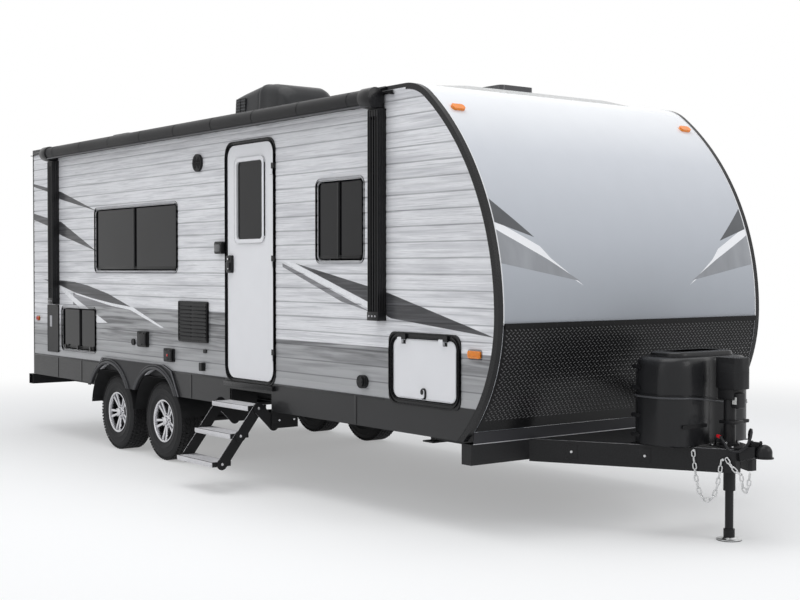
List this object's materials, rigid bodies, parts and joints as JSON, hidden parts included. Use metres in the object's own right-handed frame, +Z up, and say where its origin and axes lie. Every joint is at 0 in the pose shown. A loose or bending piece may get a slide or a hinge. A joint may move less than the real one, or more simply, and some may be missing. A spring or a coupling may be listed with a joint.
{
  "type": "travel caravan",
  "caption": "Two-axle towed living van with a curved nose, side entrance, folding steps, luggage hatches, roof vents, awning roller, drawbar jack and corner stabilisers.",
  "frame": {"origin": "centre of the ball socket in the coupler", "axes": "+X forwards along the drawbar, +Y towards the side away from the entrance, +Z up"},
  "size_m": [8.354, 2.945, 3.235],
  "materials": {
    "black_steel": "semi-gloss black paint",
    "ribbed_siding": "ribbed painted sheet with a fine streaked grain",
    "gloss_nose": "gloss white fading to silver",
    "rear_panel": "painted sheet",
    "roof_membrane": "matt white membrane",
    "tread_plate": "black tread plate",
    "floor_board": "black underside covering",
    "edge_moulding": "black moulding",
    "skirt_paint": "satin charcoal paint",
    "fender_plastic": "charcoal moulded plastic",
    "frame_black": "black powder coat",
    "tinted_glass": "dark tinted glass",
    "awning_cover": "black cover",
    "awning_black": "black powder coat",
    "cooler_shroud": "black moulded shroud",
    "vent_white": "white moulding",
    "vent_smoke": "smoked plastic",
    "moulded_black": "grained black moulding",
    "jack_black": "black powder coat",
    "jack_leg_steel": "black tube with a zinc foot",
    "tyre_rubber": "black rubber",
    "alloy": "machined spokes over black",
    "tread_alloy": "ribbed aluminium",
    "door_white": "smooth white skin",
    "lamp_lens": "amber and red lenses",
    "fitting_black": "black moulded fittings",
    "cable_rubber": "black sheath"
  },
  "bodies": {
    "caravan": {"chassis_frame": "black_steel", "tongue_frame": "black_steel", "coupler": "black_steel", "rear_bumper": "black_steel", "front_fascia": "black_steel", "floor_deck": "floor_board", "side_wall_right": "ribbed_siding", "side_wall_left": "ribbed_siding", "front_wall": "gloss_nose", "front_rock_guard": "tread_plate", "rear_wall": "rear_panel", "roof": "roof_membrane", "edge_trims": "edge_moulding", "skirts": "skirt_paint", "fender_trims": "fender_plastic", "door_frame": "frame_black", "window_frames": "frame_black", "window_panes": "tinted_glass", "hatch_frames": "frame_black", "awning_roller": "awning_cover", "awning_arms": "awning_black", "roof_air_conditioner": "cooler_shroud", "roof_vent_bases": "vent_white", "gas_cover": "moulded_black", "jack_housing": "jack_black", "axles": "black_steel", "leaf_springs": "black_steel", "step_bracket": "black_steel", "stabiliser_mounts": "black_steel", "marker_lamps": "lamp_lens", "wall_fittings": "fitting_black", "trailer_cable": "cable_rubber"},
    "wheel_front_right": {"tyre_front_right": "tyre_rubber", "rim_front_right": "alloy"},
    "wheel_front_left": {"tyre_front_left": "tyre_rubber", "rim_front_left": "alloy"},
    "wheel_rear_right": {"tyre_rear_right": "tyre_rubber", "rim_rear_right": "alloy"},
    "wheel_rear_left": {"tyre_rear_left": "tyre_rubber", "rim_rear_left": "alloy"},
    "entry_door": {"entry_door": "door_white"},
    "hatch_right": {"hatch_right": "door_white"},
    "hatch_left": {"hatch_left": "door_white"},
    "jack_leg": {"jack_leg": "jack_leg_steel"},
    "stabiliser_front_right": {"stabiliser_front_right": "black_steel"},
    "stabiliser_front_left": {"stabiliser_front_left": "black_steel"},
    "stabiliser_rear_right": {"stabiliser_rear_right": "black_steel"},
    "stabiliser_rear_left": {"stabiliser_rear_left": "black_steel"},
    "roof_vent_lid_front": {"roof_vent_lid_front": "vent_smoke"},
    "roof_vent_lid_rear": {"roof_vent_lid_rear": "vent_smoke"},
    "step_links_upper": {"step_links_upper": "black_steel"},
    "step_tread_upper": {"step_tread_upper": "tread_alloy"},
    "step_links_middle": {"step_links_middle": "black_steel"},
    "step_tread_middle": {"step_tread_middle": "tread_alloy"},
    "step_links_lower": {"step_links_lower": "black_steel"},
    "step_tread_lower": {"step_tread_lower": "tread_alloy"}
  },
  "joints": [
    {"name": "wheel_front_right_spin", "type": "hinge", "parent": "caravan", "child": "wheel_front_right", "pos_m": [-5.342, -1.0535, -0.214], "axis": [0, 1, 0], "continuous": true},
    {"name": "wheel_front_left_spin", "type": "hinge", "parent": "caravan", "child": "wheel_front_left", "pos_m": [-5.342, 1.0535, -0.214], "axis": [0, 1, 0], "continuous": true},
    {"name": "wheel_rear_right_spin", "type": "hinge", "parent": "caravan", "child": "wheel_rear_right", "pos_m": [-6.235, -1.0535, -0.214], "axis": [0, 1, 0], "continuous": true},
    {"name": "wheel_rear_left_spin", "type": "hinge", "parent": "caravan", "child": "wheel_rear_left", "pos_m": [-6.235, 1.0535, -0.214], "axis": [0, 1, 0], "continuous": true},
    {"name": "entry_door_swing", "type": "hinge", "parent": "caravan", "child": "entry_door", "pos_m": [-3.4565, -1.2344, 0.35], "axis": [0, 0, 1], "range_deg": [0, 150]},
    {"name": "hatch_right_lift", "type": "hinge", "parent": "caravan", "child": "hatch_right", "pos_m": [-1.679, -1.2344, 0.64], "axis": [-1, 0, 0], "range_deg": [0, 160]},
    {"name": "hatch_left_lift", "type": "hinge", "parent": "caravan", "child": "hatch_left", "pos_m": [-1.679, 1.2344, 0.64], "axis": [1, 0, 0], "range_deg": [0, 160]},
    {"name": "jack_leg_slide", "type": "slide", "parent": "caravan", "child": "jack_leg", "axis": [0, 0, 1], "range_m": [0, 0.33]},
    {"name": "stabiliser_front_right_drop", "type": "hinge", "parent": "caravan", "child": "stabiliser_front_right", "pos_m": [-1.54, -0.9, -0.025], "axis": [0, -1, 0], "range_deg": [0, 75]},
    {"name": "stabiliser_front_left_drop", "type": "hinge", "parent": "caravan", "child": "stabiliser_front_left", "pos_m": [-1.54, 0.9, -0.025], "axis": [0, -1, 0], "range_deg": [0, 75]},
    {"name": "stabiliser_rear_right_drop", "type": "hinge", "parent": "caravan", "child": "stabiliser_rear_right", "pos_m": [-7.3, -0.9, -0.025], "axis": [0, 1, 0], "range_deg": [0, 75]},
    {"name": "stabiliser_rear_left_drop", "type": "hinge", "parent": "caravan", "child": "stabiliser_rear_left", "pos_m": [-7.3, 0.9, -0.025], "axis": [0, 1, 0], "range_deg": [0, 75]},
    {"name": "roof_vent_front_open", "type": "hinge", "parent": "caravan", "child": "roof_vent_lid_front", "pos_m": [-2.44, -0.02, 2.3405], "axis": [0, -1, 0], "range_deg": [0, 75]},
    {"name": "roof_vent_rear_open", "type": "hinge", "parent": "caravan", "child": "roof_vent_lid_rear", "pos_m": [-7.72, -0.3, 2.3405], "axis": [0, -1, 0], "range_deg": [0, 75]},
    {"name": "step_fold", "type": "hinge", "parent": "caravan", "child": "step_links_upper", "pos_m": [-3.792, -1.19, -0.075], "axis": [-1, 0, 0], "range_deg": [0, 69.85]},
    {"name": "step_tread_upper_turn", "type": "hinge", "parent": "step_links_upper", "child": "step_tread_upper", "pos_m": [-3.792, -1.32, 0.058], "axis": [1, 0, 0], "range_deg": [0, 69.87]},
    {"name": "step_links_middle_turn", "type": "hinge", "parent": "step_tread_upper", "child": "step_links_middle", "pos_m": [-3.792, -1.32, 0.058], "axis": [1, 0, 0], "range_deg": [0, 115.8]},
    {"name": "step_tread_middle_turn", "type": "hinge", "parent": "step_links_middle", "child": "step_tread_middle", "pos_m": [-3.792, -1.47, -0.137], "axis": [-1, 0, 0], "range_deg": [0, 115.8]},
    {"name": "step_links_lower_turn", "type": "hinge", "parent": "step_tread_middle", "child": "step_links_lower", "pos_m": [-3.792, -1.47, -0.137], "axis": [-1, 0, 0], "range_deg": [0, 40.66]},
    {"name": "step_tread_lower_turn", "type": "hinge", "parent": "step_links_lower", "child": "step_tread_lower", "pos_m": [-3.792, -1.62, -0.332], "axis": [1, 0, 0], "range_deg": [0, 40.66]}
  ],
  "couplings": [
    {"joint": "step_tread_upper_turn", "follows": "step_fold", "ratio": 1},
    {"joint": "step_links_middle_turn", "follows": "step_fold", "ratio": 1.6575},
    {"joint": "step_tread_middle_turn", "follows": "step_fold", "ratio": 1.6575},
    {"joint": "step_links_lower_turn", "follows": "step_fold", "ratio": 0.5817},
    {"joint": "step_tread_lower_turn", "follows": "step_fold", "ratio": 0.5817}
  ]
}
